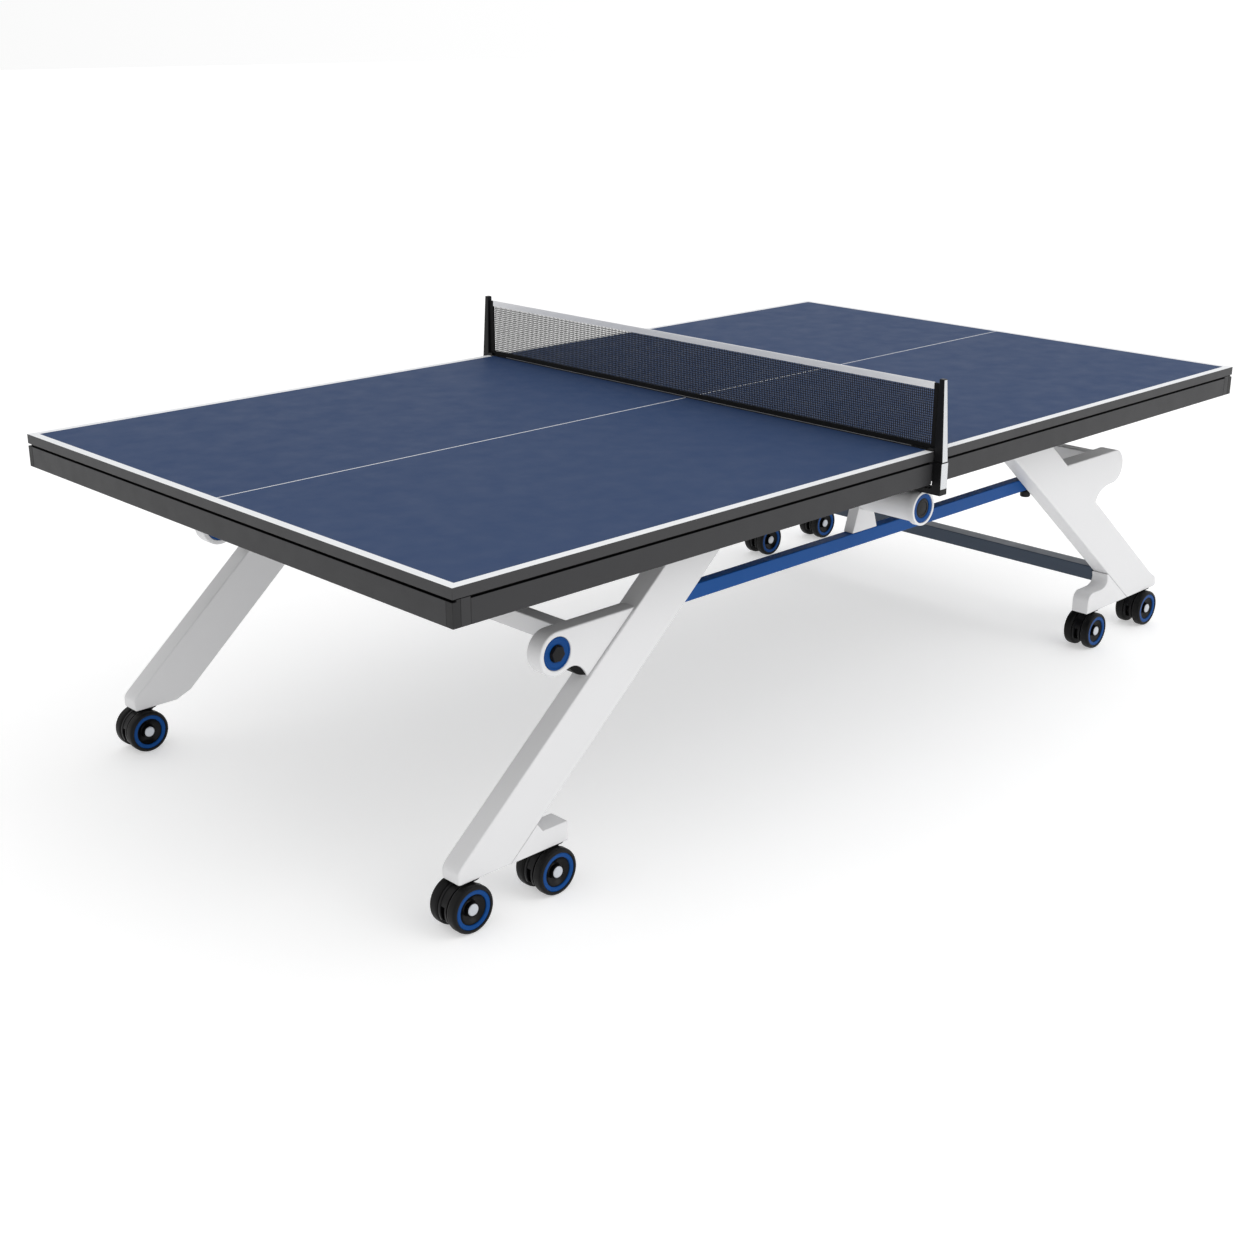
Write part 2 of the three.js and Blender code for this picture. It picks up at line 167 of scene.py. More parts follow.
def ranged(tree, value, low, high):
    made = node(tree, "MapRange")
    made.inputs["From Min"].default_value, made.inputs["From Max"].default_value = 0.3, 0.7
    made.inputs["To Min"].default_value, made.inputs["To Max"].default_value = low, high
    tree.links.new(value, made.inputs["Value"])
    return made.outputs["Result"]


def bumped(tree, shader, height, strength, distance):
    made = node(tree, "Bump", Strength=strength, Distance=distance)
    tree.links.new(height, made.inputs["Height"])
    tree.links.new(made.outputs["Normal"], shader.inputs["Normal"])


# %% A finish
GLOSS_CELLS, DRIFT_CELLS = 22, 4
WEAR_AND_HIGHLIGHT_START, WEAR_AND_HIGHLIGHT_FULL, WEAR_AND_HIGHLIGHT_MOST = 0.52, 0.62, 0.7


def surface(name, colour, rough, cells, relief, drift=0.06, metallic=0.0, stretch=None, coat=0.0, edge_wear_and_highlight=None,
            shine=0.3):
    """A finish whose colour drifts a little across the piece, with a fine relief and uneven gloss.
    cells is the relief's scale in cells per metre and relief its height in metres. edge_wear_and_highlight is
    a second colour on the piece's sharp edges: partly wear, and partly a painted highlight where the edges
    catch the light."""
    material = bpy.data.materials.new(name)
    material.use_nodes = True
    tree = material.node_tree
    shader = tree.nodes["Principled BSDF"]
    shader.inputs["Metallic"].default_value = metallic
    shader.inputs["Specular IOR Level"].default_value = shine
    shader.inputs["Coat Weight"].default_value = coat
    shader.inputs["Coat Roughness"].default_value = 0.25
    dark = tuple(c * (1 - drift) for c in colour[:3]) + (1,)
    light = tuple(min(1, c * (1 + drift)) for c in colour[:3]) + (1,)
    shade = blend_colours(tree, noise(tree, DRIFT_CELLS, 4), dark, light)
    # Sharp edges take the second, lighter colour: partly wear and partly painted highlight.
    if edge_wear_and_highlight:
        edges = node(tree, "NewGeometry").outputs["Pointiness"]
        wear_and_highlight_mask = node(tree, "MapRange")
        wear_and_highlight_mask.inputs["From Min"].default_value = WEAR_AND_HIGHLIGHT_START
        wear_and_highlight_mask.inputs["From Max"].default_value = WEAR_AND_HIGHLIGHT_FULL
        wear_and_highlight_mask.inputs["To Max"].default_value = WEAR_AND_HIGHLIGHT_MOST
        tree.links.new(edges, wear_and_highlight_mask.inputs["Value"])
        mixed = node(tree, "Mix", data_type="RGBA")
        mixed.inputs["B"].default_value = edge_wear_and_highlight
        tree.links.new(wear_and_highlight_mask.outputs["Result"], mixed.inputs["Factor"])
        tree.links.new(shade, mixed.inputs["A"])
        shade = mixed.outputs["Result"]
    tree.links.new(shade, shader.inputs["Base Color"])
    gloss = ranged(tree, noise(tree, GLOSS_CELLS, 5), rough - 0.04, rough + 0.05)
    tree.links.new(gloss, shader.inputs["Roughness"])
    bumped(tree, shader, noise(tree, cells, 2, stretch), 0.35, relief)
    return material


# %% [markdown]
# The frame is powder coated: a satin skin with the slight orange peel that the powder leaves. The plastic
# is moulded with a fine spark-eroded grain. The posts' outer faces are brushed along their length.

# %% Finishes
# The charcoal, the edge band, the black paint and the tyre get lighter sharp edges, partly wear and partly
# painted highlight.
WHITE = surface("white_powder_coat", linear(222, 222, 223), 0.38, 700, 0.00006, drift=0.02, coat=0.1)
CHARCOAL = surface("charcoal_powder_coat", linear(44, 44, 45), 0.42, 800, 0.00006, edge_wear_and_highlight=linear(64, 64, 66),
                   shine=0.2)
EDGE_BAND = surface("charcoal_edge_band", linear(48, 48, 49), 0.4, 500, 0.00005, edge_wear_and_highlight=linear(72, 72, 74),
                    shine=0.2)
BLUE_PAINT = surface("blue_powder_coat", linear(2, 72, 140), 0.4, 700, 0.00006, drift=0.05, shine=0.15)
SLATE_PAINT = surface("slate_powder_coat", linear(64, 75, 90), 0.4, 700, 0.00006)
BLACK_PAINT = surface("black_powder_coat", linear(10, 10, 11), 0.36, 800, 0.00005, edge_wear_and_highlight=linear(34, 34, 36),
                      shine=0.16)
BLUE_PLASTIC = surface("blue_plastic", linear(0, 64, 128), 0.38, 1400, 0.00003, drift=0.05, shine=0.12)
BLACK_PLASTIC = surface("black_plastic", linear(10, 10, 12), 0.32, 1400, 0.00004, shine=0.2)
# Dark plastic for the castors' dark bands and the hood's slot, also used as painted shade on the apron's lip
# in the groove and in the knuckles' notches.
DARK_PLASTIC_AND_SHADE = surface("dark_plastic_and_painted_shade", linear(7, 7, 8), 0.45, 1400, 0.00003, shine=0.1)
TYRE = surface("tyre_rubber", linear(11, 11, 12), 0.46, 500, 0.00008, drift=0.1, edge_wear_and_highlight=linear(32, 32, 32),
               shine=0.16)
CAP_PLASTIC = surface("cap_plastic", linear(36, 36, 37), 0.5, 1400, 0.00004, shine=0.25)
SILVER = surface("silver_cap", linear(196, 200, 206), 0.3, 900, 0.00002, drift=0.03, metallic=0.35)
STEEL = surface("brushed_steel", linear(206, 208, 210), 0.24, 260, 0.00004, drift=0.05, metallic=0.85,
                stretch=(6, 6, 0.2))
GREY_EDGE = surface("grey_hem_edge", linear(150, 152, 156), 0.6, 900, 0.00004)


# %% [markdown]
# ## Playing surface
# The boards are painted matt blue, with a 20 mm white line along the outer edges and a 3 mm line down the
# middle. The paint is rolled on, so it has a fine even texture, and the lines are painted over it.

# %% The painted face
LINE, CENTRE_LINE = 20 * MM, 3 * MM
half_length, half_width = cad_high.x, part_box("table_top_a")[1].y


def play_face():
    material = bpy.data.materials.new("play_face")
    material.use_nodes = True
    tree = material.node_tree
    shader = tree.nodes["Principled BSDF"]
    shader.inputs["Specular IOR Level"].default_value = 0.05
    place = node(tree, "SeparateXYZ")
    tree.links.new(node(tree, "TexCoord").outputs["Object"], place.inputs[0])

    def compared(axis, edge, kind):
        size = node(tree, "Math", operation="ABSOLUTE")
        tree.links.new(place.outputs[axis], size.inputs[0])
        test = node(tree, "Math", operation=kind)
        test.inputs[1].default_value = edge
        tree.links.new(size.outputs[0], test.inputs[0])
        return test.outputs[0]

    def either(a, b):
        most = node(tree, "Math", operation="MAXIMUM")
        tree.links.new(a, most.inputs[0])
        tree.links.new(b, most.inputs[1])
        return most.outputs[0]

    lines = either(compared("X", half_length - LINE, "GREATER_THAN"),
                   either(compared("Y", half_width - LINE, "GREATER_THAN"),
                          compared("Y", CENTRE_LINE / 2, "LESS_THAN")))
    blue = blend_colours(tree, noise(tree, 1.4, 3), linear(48, 68, 104), linear(50, 70, 106))
    white = blend_colours(tree, noise(tree, 30, 4), linear(232, 234, 237), linear(246, 247, 248))
    mixed = node(tree, "Mix", data_type="RGBA")
    tree.links.new(lines, mixed.inputs["Factor"])
    tree.links.new(blue, mixed.inputs["A"])
    tree.links.new(white, mixed.inputs["B"])
    tree.links.new(mixed.outputs["Result"], shader.inputs["Base Color"])
    tree.links.new(ranged(tree, noise(tree, 18, 5), 0.5, 0.6), shader.inputs["Roughness"])
    bumped(tree, shader, noise(tree, 900, 2), 0.4, 0.00006)
    return material


PLAY_FACE = play_face()


# %% [markdown]
# ## How a piece is refined
# Each frame piece starts as a copy of its CAD mesh. Its triangles are joined back into flat faces, its
# edges get the small round that a pressed or welded part has, and its shading follows the flat faces. A
# helper for each of these steps comes first, and then the pieces are a line or two each.

# %% Tools for refining
SIDES = (("near", -1), ("far", 1))
ENDS = (("a", -1), ("b", 1))
FRAME = "undercarriage"
SMOOTH_BELOW = 42


def from_cad(cad_node):
    mesh = bmesh.new()
    mesh.from_mesh(frame["nodes"][cad_node].data)
    bmesh.ops.remove_doubles(mesh, verts=mesh.verts, dist=1e-6)
    bmesh.ops.dissolve_limit(mesh, angle_limit=math.radians(0.5), verts=mesh.verts, edges=mesh.edges)
    bmesh.ops.recalc_face_normals(mesh, faces=mesh.faces)
    return mesh


def rounded(mesh, width, sharp=30, segments=2):
    edges = [e for e in mesh.edges if len(e.link_faces) == 2 and e.calc_face_angle(0) > math.radians(sharp)]
    bmesh.ops.bevel(mesh, geom=edges, affect="EDGES", offset=width, offset_type="OFFSET", segments=segments,
                    profile=0.5, material=-1, clamp_overlap=True)
    return mesh


def block(mesh, low, high):
    """Adds a box between two corners and returns its eight vertices."""
    corners = bmesh.ops.create_cube(mesh, size=1)["verts"]
    for v in corners:
        for k in range(3):
            v.co[k] = (low[k] + high[k]) / 2 + v.co[k] * (high[k] - low[k])
    return corners


def piece(name, mesh, body, materials, stands_for=(), flat=False):
    """Makes the object that rides on a body, in place of the CAD nodes it stands for. A flat piece keeps
    one normal for each face."""
    data = bpy.data.meshes.new(name)
    bmesh.ops.recalc_face_normals(mesh, faces=mesh.faces)
    mesh.to_mesh(data)
    mesh.free()
    for material in materials:
        data.materials.append(material)
    made = bpy.data.objects.new(name, data)
    scene.collection.objects.link(made)
    if not flat:
        data.polygons.foreach_set("use_smooth", [True] * len(data.polygons))
        data.set_sharp_from_angle(angle=math.radians(SMOOTH_BELOW))
        weighted = made.modifiers.new("weighted", "WEIGHTED_NORMAL")
        weighted.keep_sharp = True
    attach(made, body)
    if stands_for:
        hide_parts(*stands_for)
    return made


def refine(cad_node, body, material, width):
    return piece(cad_node + "_made", rounded(from_cad(cad_node), width), body, [material], [cad_node])


# Above this height the apron's faces take the dark second material, as painted shade in the groove.
GROOVE_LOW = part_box("end_rail_a")[1].z - 4.9 * MM


def shade_groove(mesh):
    """Gives the apron's lip, which lies in the shadow of the board, its second material: a dark painted
    shade.
    """
    for face in mesh.faces:
        face.material_index = 1 if face.calc_center_median().z > GROOVE_LOW else 0
    return mesh


# %% [markdown]
# ## Boards and apron
# Each half is a 22 mm board with a charcoal band round its edge. A groove parts it from the steel apron
# below, and the apron's lip in the groove is painted dark as painted shade. The apron's corners are covered
# by plastic caps, which protect the steel and the player.

# %% Boards
BOARD_ROUND = 1.0 * MM
for end in "ab":
    mesh = rounded(from_cad("table_top_" + end), BOARD_ROUND)
    for face in mesh.faces:
        face.material_index = 0 if face.normal.z > 0.9 else 1
    piece("board_" + end, mesh, "half_" + end, [PLAY_FACE, EDGE_BAND], ["table_top_" + end])
    for rail in ("side_rail_near_" + end, "side_rail_far_" + end):
        piece(rail + "_made", shade_groove(rounded(from_cad(rail), BOARD_ROUND)), "half_" + end,
              [CHARCOAL, DARK_PLASTIC_AND_SHADE], [rail])
    for joist in ("hinge_joist_", "middle_joist_"):
        refine(joist + end, "half_" + end, CHARCOAL, BOARD_ROUND)
print("top reaches", round(half_length / MM), "mm each way and is", round(2 * half_width / MM), "mm wide")

# %% [markdown]
# The corner caps lie flush with the apron, so each end rail is cut across near both ends. The outermost block
# at each end becomes the cap, and a hairline seam is left at each cut.

# %% End rails and their corner caps
CAP, SEAM = 18 * MM, 0.15 * MM


def cut(mesh, point, away):
    """Cuts off what lies on the far side of a plane and closes the end."""
    bmesh.ops.bisect_plane(mesh, geom=mesh.verts[:] + mesh.edges[:] + mesh.faces[:], plane_co=point,
                           plane_no=away, clear_outer=True)
    bmesh.ops.holes_fill(mesh, edges=[e for e in mesh.edges if e.is_boundary])


for end, way in ENDS:
    rail = "end_rail_" + end
    seam_x, seam_y = way * (half_length - CAP), half_width - CAP
    middle = from_cad(rail)
    for side in (-1, 1):
        cut(middle, (0, side * (seam_y - SEAM), 0), (0, side, 0))
    piece(rail + "_made", shade_groove(rounded(middle, BOARD_ROUND)), "half_" + end, [CHARCOAL, DARK_PLASTIC_AND_SHADE],
          [rail])
    for name, side in SIDES:
        cap = from_cad(rail)
        cut(cap, (0, side * (seam_y + SEAM), 0), (0, -side, 0))
        corner = cap.copy()
        cut(cap, (seam_x + way * SEAM, 0, 0), (-way, 0, 0))
        cut(corner, (seam_x - way * SEAM, 0, 0), (way, 0, 0))
        piece(f"corner_cap_{name}_{end}", shade_groove(rounded(cap, BOARD_ROUND)), "half_" + end,
              [CAP_PLASTIC, DARK_PLASTIC_AND_SHADE])
        piece(f"corner_end_{name}_{end}", shade_groove(rounded(corner, BOARD_ROUND)), "half_" + end,
              [CHARCOAL, DARK_PLASTIC_AND_SHADE])
print("corner caps", CAP / MM, "mm")

# %% [markdown]
# ## Legs, knuckles and feet
# The legs are flat box sections, welded from sheet and coated white, with edges rounded to about 3 mm. The
# knuckle and the foot are separate castings that meet the leg on a fine seam.

# %% White frame
LEG_ROUND, SADDLE_ROUND, PLATE_ROUND = 3.2 * MM, 1.5 * MM, 1.0 * MM
RAIL_ROUND, FOOT_ROUND, BAR_ROUND = 2.0 * MM, 2.0 * MM, 3.0 * MM
for side, _ in SIDES:
    for part in ("leg_%s_a", "leg_%s_b", "knuckle_%s_a", "foot_%s_b"):
        refine(part % side, FRAME, WHITE, LEG_ROUND)
    refine("tube_saddle_" + side, FRAME, WHITE, SADDLE_ROUND)
    refine("hinge_saddle_" + side, FRAME, WHITE, PLATE_ROUND)
    refine("rail_" + side, FRAME, BLUE_PAINT, RAIL_ROUND)
refine("foot_near_a", FRAME, WHITE, FOOT_ROUND)
for end, _ in ENDS:
    refine("crossbar_upper_" + end, FRAME, WHITE, BAR_ROUND)
refine("crossbar_lower_b", FRAME, SLATE_PAINT, BAR_ROUND)
print("legs rounded to", LEG_ROUND / MM, "mm")

# %% [markdown]
# A dark pad fills the notch where the knuckle's lower edge runs into the leg. Its dark colour is painted
# shade, the shadow that falls in the notch. Its upper edge follows a smooth curve from the knuckle to the
# leg, its lower edge bellies out from it, and the face between them is pulled through the leg's thickness.

# %% Notch pads of painted shade
NOTCH_SHADE_DEEP, NOTCH_SHADE_GAP = 15 * MM, 0.4 * MM
NOTCH_SHADE_INNER, NOTCH_SHADE_OUTER = 585 * MM, 617 * MM
NOTCH_SHADE_START, NOTCH_SHADE_BEND, NOTCH_SHADE_STOP = Vector((23, 0, -40)), Vector((58, 0, -26.5)), Vector((78, 0, -69))
NOTCH_SHADE_FIRST, NOTCH_SHADE_SPAN, NOTCH_SHADE_STEPS = 0.12, 0.83, 8
for side, way in SIDES:
    low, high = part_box("knuckle_bush_" + side)
    boss = Vector(((low.x + high.x) / 2, 0, (low.z + high.z) / 2))
    start, bend, stop = (boss + point * MM for point in (NOTCH_SHADE_START, NOTCH_SHADE_BEND, NOTCH_SHADE_STOP))
    upper, lower = [], []
    for k in range(NOTCH_SHADE_STEPS + 1):
        t = NOTCH_SHADE_FIRST + NOTCH_SHADE_SPAN * k / NOTCH_SHADE_STEPS
        on_curve = start * (1 - t) ** 2 + bend * 2 * t * (1 - t) + stop * t ** 2 - Vector((0, 0, NOTCH_SHADE_GAP))
        upper.append(on_curve)
        lower.append(on_curve - Vector((0.25, 0, 1)) * NOTCH_SHADE_DEEP * math.sin(math.pi * k / NOTCH_SHADE_STEPS))
    rim = upper + lower[-2:0:-1]
    mesh = bmesh.new()
    face = mesh.faces.new([mesh.verts.new((p.x, way * NOTCH_SHADE_INNER, p.z)) for p in rim])
    for v in bmesh.ops.extrude_face_region(mesh, geom=[face])["geom"]:
        if isinstance(v, bmesh.types.BMVert):
            v.co.y = way * NOTCH_SHADE_OUTER
    # The pad's dark colour is painted shade, standing for the shadow that falls in the notch.
    piece("notch_painted_shade_" + side, rounded(mesh, 0.8 * MM, 50), FRAME, [DARK_PLASTIC_AND_SHADE])
print("painted notch shades", NOTCH_SHADE_DEEP / MM, "mm deep")

# %% [markdown]
# ## Turned pieces
# Knobs, bushes, caps and wheels are round, so each is one profile spun about its axis, as on a lathe. The
# profile is a list of radii and distances along the axis, and every step in it is a real chamfer or lip.

# %% Lathe
def turned(mesh, profile, centre, axis="Y", steps=64):
    """Spins (radius, distance along the axis) points, in mm, about an axis through the centre."""
    start = len(mesh.verts)
    along = Vector((0, 1, 0)) if axis == "Y" else Vector((0, 0, 1))
    verts = [mesh.verts.new(centre + Vector((r * MM, 0, 0)) + along * d * MM) for r, d in profile]
    edges = [mesh.edges.new(pair) for pair in zip(verts, verts[1:])]
    bmesh.ops.spin(mesh, geom=verts + edges, cent=centre, axis=along, dvec=(0, 0, 0), angle=2 * math.pi,
                   steps=steps, use_merge=True, use_duplicate=False)
    mesh.verts.ensure_lookup_table()
    bmesh.ops.remove_doubles(mesh, verts=mesh.verts[start:], dist=1e-6)


def facing(profile, way):
    """The same profile looking towards -Y or +Y."""
    return [(r, way * d) for r, d in profile]


# %% [markdown]
# A screw knob under each rail, beside the leg of end B, clamps the rail.

# %% Rail knobs
KNOB_X = 0.693
KNOB = [(0, 0.4), (6, 0.4), (6, 5), (12.4, 6), (13.3, 8), (13.3, 19), (11.5, 21.5), (0, 22)]
for side, _ in SIDES:
    rail_low, rail_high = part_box("rail_" + side)
    axle = Vector((KNOB_X, (rail_low.y + rail_high.y) / 2, 0))
    mesh = bmesh.new()
    turned(mesh, [(r, rail_low.z / MM - d) for r, d in KNOB], axle, axis="Z", steps=40)
    piece("rail_knob_" + side, mesh, FRAME, [BLACK_PLASTIC])
print("rail knobs at x", KNOB_X, "m")

# %% [markdown]
# The knuckle's pivot has a blue bush, set a little below the face, with a raised rim and a dark hexagon
# bolt. The bolt's head is chamfered, as a forged one is.

# %% Knuckle bushes and bolts
BOLT_CORNER, BOLT_HIGH, BOLT_TURN = 17.2 * MM, 4.6 * MM, 0.3


def reach(low, high):
    """How far a piece's outer and inner faces stand from the middle of the table along Y, in metres."""
    return max(abs(low.y), abs(high.y)), min(abs(low.y), abs(high.y))


for side, way in SIDES:
    low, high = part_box("knuckle_bush_" + side)
    centre = Vector(((low.x + high.x) / 2, 0, (low.z + high.z) / 2))
    face, back = (d / MM for d in reach(low, high))
    ring = [(18.2, back), (33.8, back), (33.8, face - 0.8), (33, face), (30.5, face), (29.5, face - 1.2),
            (20, face - 1.6), (18.2, face - 2.4), (18.2, back)]
    mesh = bmesh.new()
    turned(mesh, facing(ring, way), centre)
    piece(f"knuckle_bush_{side}_made", mesh, FRAME, [BLUE_PLASTIC], ["knuckle_bush_" + side])
    mesh = bmesh.new()
    washer = [(0, back), (17.4, back), (17.4, face - 1), (16.8, face - 0.2), (0, face - 0.2)]
    turned(mesh, facing(washer, way), centre)
    head = bmesh.new()
    bmesh.ops.create_cone(head, cap_ends=True, segments=6, radius1=BOLT_CORNER, radius2=BOLT_CORNER,
                          depth=BOLT_HIGH)
    top = [e for e in head.edges if all(v.co.z > 0 for v in e.verts)]
    bmesh.ops.bevel(head, geom=top, affect="EDGES", offset=1.4 * MM, segments=2, profile=0.5, material=-1)
    spot = Matrix.Translation((centre.x, way * (face + 2.0) * MM, centre.z))
    outward = Matrix.Rotation(way * math.radians(-90), 4, "X")
    head.transform(spot @ outward @ Matrix.Rotation(BOLT_TURN, 4, "Z"))
    data = bpy.data.meshes.new("head")
    head.to_mesh(data)
    head.free()
    mesh.from_mesh(data)
    piece(f"knuckle_bolt_{side}_made", mesh, FRAME, [BLACK_PAINT], ["knuckle_bolt_" + side])
print("bolt heads", round(2 * BOLT_CORNER / MM, 1), "mm over the corners")

# %% [markdown]
# ## Centre tube
# One thick tube carries the table under the net. Each end shows a white rim, a blue ring and a black cap.

# %% Tube
refine("centre_tube", FRAME, WHITE, PLATE_ROUND)
for side, way in SIDES:
    low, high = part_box("tube_ring_" + side)
    centre = Vector((0, 0, (low.z + high.z) / 2))
    face, back = (d / MM for d in reach(low, high))
    ring = [(23.1, back), (33.6, back), (33.6, face - 1), (32.8, face - 0.2), (25, face - 0.2),
            (23.1, face - 1.6), (23.1, back)]
    cap = [(0, back), (22.7, back), (22.7, face - 2.6), (21.8, face - 1.8), (17, face - 1.4),
           (16, face - 2.6), (6, face - 2.2), (0, face - 2.0)]
    for part, profile, material, slot in (("tube_ring_", ring, BLUE_PLASTIC, "blue_plastic"),
                                          ("tube_cap_", cap, BLACK_PLASTIC, "black_plastic")):
        mesh = bmesh.new()
        turned(mesh, facing(profile, way), centre)
        piece(f"{part}{side}_made", mesh, FRAME, [material], [part + side])
print("tube ends at", round(face), "mm from the middle")

# %% [markdown]
# ## Net set
# Each post is a tapered bar that stands on an arm from the tube. Its outer face is a brushed steel plate. A
# flared foot and a thin jaw lie on the board. The net is woven from 1.4 mm thread in cells of 5.3 mm, with
# a folded white tape along the top, a black hem with a grey edge along the bottom, and a black strip at
# each end.

# %% Arms and posts
PLATE_LOW = 0.677
ARM_ROUND, POST_ROUND = 1.2 * MM, 1.6 * MM
for side, way in SIDES:
    mesh = rounded(from_cad("net_arm_" + side), ARM_ROUND)
    bmesh.ops.bisect_plane(mesh, geom=mesh.verts[:] + mesh.edges[:] + mesh.faces[:],
                           plane_co=(0, 0, PLATE_LOW), plane_no=(0, 0, 1))
    for face in mesh.faces:
        plate = face.normal.y * way > 0.95 and face.calc_center_median().z > PLATE_LOW
        face.material_index = 1 if plate else 0
    piece(f"net_arm_{side}_made", mesh, FRAME, [BLACK_PAINT, STEEL], ["net_arm_" + side])
    mesh = rounded(from_cad("net_post_" + side), POST_ROUND)
    for face in mesh.faces:
        face.material_index = 1 if face.normal.y * way > 0.95 else 0
    piece(f"net_post_{side}_made", mesh, FRAME, [BLACK_PAINT, STEEL], ["net_post_" + side])
print("steel plates from z", PLATE_LOW, "m up")

# %% [markdown]
# A flared foot hides the joint between post and board, and a thin tapered jaw reaches in over the board. Both
# stand a hair above the paint.

# %% Feet and jaws on the board
top_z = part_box("table_top_a")[1].z
LIFT, POST_GAP = 0.4 * MM, 0.3 * MM
FOOT_WIDE, FOOT_DEEP, FOOT_HIGH = 15 * MM, 20 * MM, 7 * MM
JAW_WIDE, JAW_START, JAW_DEEP, JAW_HIGH = 9 * MM, 20.4 * MM, 66 * MM, 2.4 * MM
POST_FOOT_ROUND, JAW_ROUND = 1.2 * MM, 0.7 * MM
for side, way in SIDES:
    inner = reach(*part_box("net_post_" + side))[1] - POST_GAP
    mesh = bmesh.new()
    foot = block(mesh, (-FOOT_WIDE, inner - FOOT_DEEP, top_z + LIFT), (FOOT_WIDE, inner, top_z + FOOT_HIGH))
    for v in foot:
        if v.co.z > top_z + 3 * MM:
            v.co.x *= 0.6
            v.co.y = inner - 14 * MM if v.co.y < inner - 10 * MM else v.co.y
        v.co.y *= way
    bmesh.ops.recalc_face_normals(mesh, faces=mesh.faces)
    piece("post_foot_" + side, rounded(mesh, POST_FOOT_ROUND), FRAME, [BLACK_PLASTIC])
    mesh = bmesh.new()
    jaw = block(mesh, (-JAW_WIDE, inner - JAW_DEEP, top_z + LIFT),
                (JAW_WIDE, inner - JAW_START, top_z + JAW_HIGH))
    for v in jaw:
        if v.co.y < inner - 40 * MM:
            v.co.x *= 0.75
        v.co.y *= way
    bmesh.ops.recalc_face_normals(mesh, faces=mesh.faces)
    piece("net_jaw_" + side, rounded(mesh, JAW_ROUND), FRAME, [BLACK_PAINT])
print("jaws reach", JAW_DEEP / MM, "mm in from the posts")

# %% [markdown]
# The net's threads are one thickness apart where they cross, as in a woven net, so each set lies on its own
# side of the middle plane.

# %% Net
CELL, THREAD = 5.3 * MM, 1.4 * MM
HEM_HIGH, END_STRIP = 11 * MM, 15 * MM
tape_low, tape_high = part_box("net_top_tape")
hem_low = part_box("net_bottom_tape")[0]
net_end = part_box("net")[1].y
thread_low, thread_high = hem_low.z + 2 * MM, tape_high.z - 3 * MM
mesh = bmesh.new()
across = int(2 * net_end / CELL)
for i in range(1, across):
    y = -net_end + i * 2 * net_end / across
    block(mesh, (0, y - THREAD / 2, thread_low), (THREAD, y + THREAD / 2, thread_high))
rows = int((thread_high - thread_low) / CELL)
for i in range(rows + 1):
    z = thread_low + THREAD / 2 + i * (thread_high - thread_low - THREAD) / rows
    block(mesh, (-THREAD, -net_end, z - THREAD / 2), (0, net_end, z + THREAD / 2))
NET_THREAD = surface("net_thread", linear(22, 22, 24), 0.7, 2500, 0.0001, drift=0.2)
net = piece("net_threads", mesh, FRAME, [NET_THREAD], ["net"], flat=True)
print("net", across, "by", rows, "cells,", len(net.data.polygons), "faces")

# %% [markdown]
# The tape and the hem are strips of woven cloth folded over the net's edges. Each is one closed sheet with a
# real thickness, open along its lips, and the weave is a relief of crossed waves.

# %% Woven cloth
def weave(name, colour, rough, sheen):
    """Plain woven tape: threads each way at 0.8 mm, with the crossed weave in the relief."""
    material = bpy.data.materials.new(name)
    material.use_nodes = True
    tree = material.node_tree
    shader = tree.nodes["Principled BSDF"]
    shader.inputs["Sheen Weight"].default_value = sheen
    shader.inputs["Specular IOR Level"].default_value = 0.2
    coords = node(tree, "TexCoord").outputs["Object"]
    waves = []
    for direction in ("Y", "Z"):
        wave = node(tree, "TexWave", Scale=200.0, bands_direction=direction)
        tree.links.new(coords, wave.inputs["Vector"])
        waves.append(wave.outputs["Fac"])
    height = node(tree, "Math", operation="MULTIPLY")
    for k, wave in enumerate(waves):
        tree.links.new(wave, height.inputs[k])
    dark = tuple(c * 0.86 for c in colour[:3]) + (1,)
    tree.links.new(blend_colours(tree, height.outputs[0], dark, colour), shader.inputs["Base Color"])
    tree.links.new(ranged(tree, noise(tree, 60, 4), rough - 0.05, rough + 0.08), shader.inputs["Roughness"])
    bumped(tree, shader, height.outputs[0], 0.5, 0.0002)
    return material


WHITE_TAPE = weave("white_tape", linear(254, 254, 255), 0.75, 0.3)
BLACK_TAPE = weave("black_tape", linear(12, 12, 13), 0.8, 0.05)


# %% Folded strips
SKIN, FOLD_HALF, STRIP_HALF, EDGE_DROP = 0.5 * MM, 2.2 * MM, 2.4 * MM, 0.9 * MM


def folded_strip(name, low, high, half, length, materials, stands_for, fold_up):
    """A strip folded over the net's edge: one closed sheet, open along one side."""
    mesh = bmesh.new()
    crease, lips = (high, low) if fold_up else (low, high)
    way = 1 if fold_up else -1
    shoulder, lining = crease - way * half * 0.5, crease - way * SKIN
    tuck = crease - way * (half * 0.5 + SKIN)
    outside = [(-half, lips), (-half, shoulder), (-half * 0.6, crease), (half * 0.6, crease),
               (half, shoulder), (half, lips)]
    inside = [(half - SKIN, lips), (half - SKIN, tuck), (half * 0.4, lining),
              (-half * 0.4, lining), (-half + SKIN, tuck), (-half + SKIN, lips)]
    face = mesh.faces.new([mesh.verts.new((x, -length, z)) for x, z in outside + inside])
    for v in bmesh.ops.extrude_face_region(mesh, geom=[face])["geom"]:
        if isinstance(v, bmesh.types.BMVert):
            v.co.y = length
    bmesh.ops.triangulate(mesh, faces=[f for f in mesh.faces if len(f.verts) > 4])
    return piece(name, mesh, FRAME, materials, stands_for)


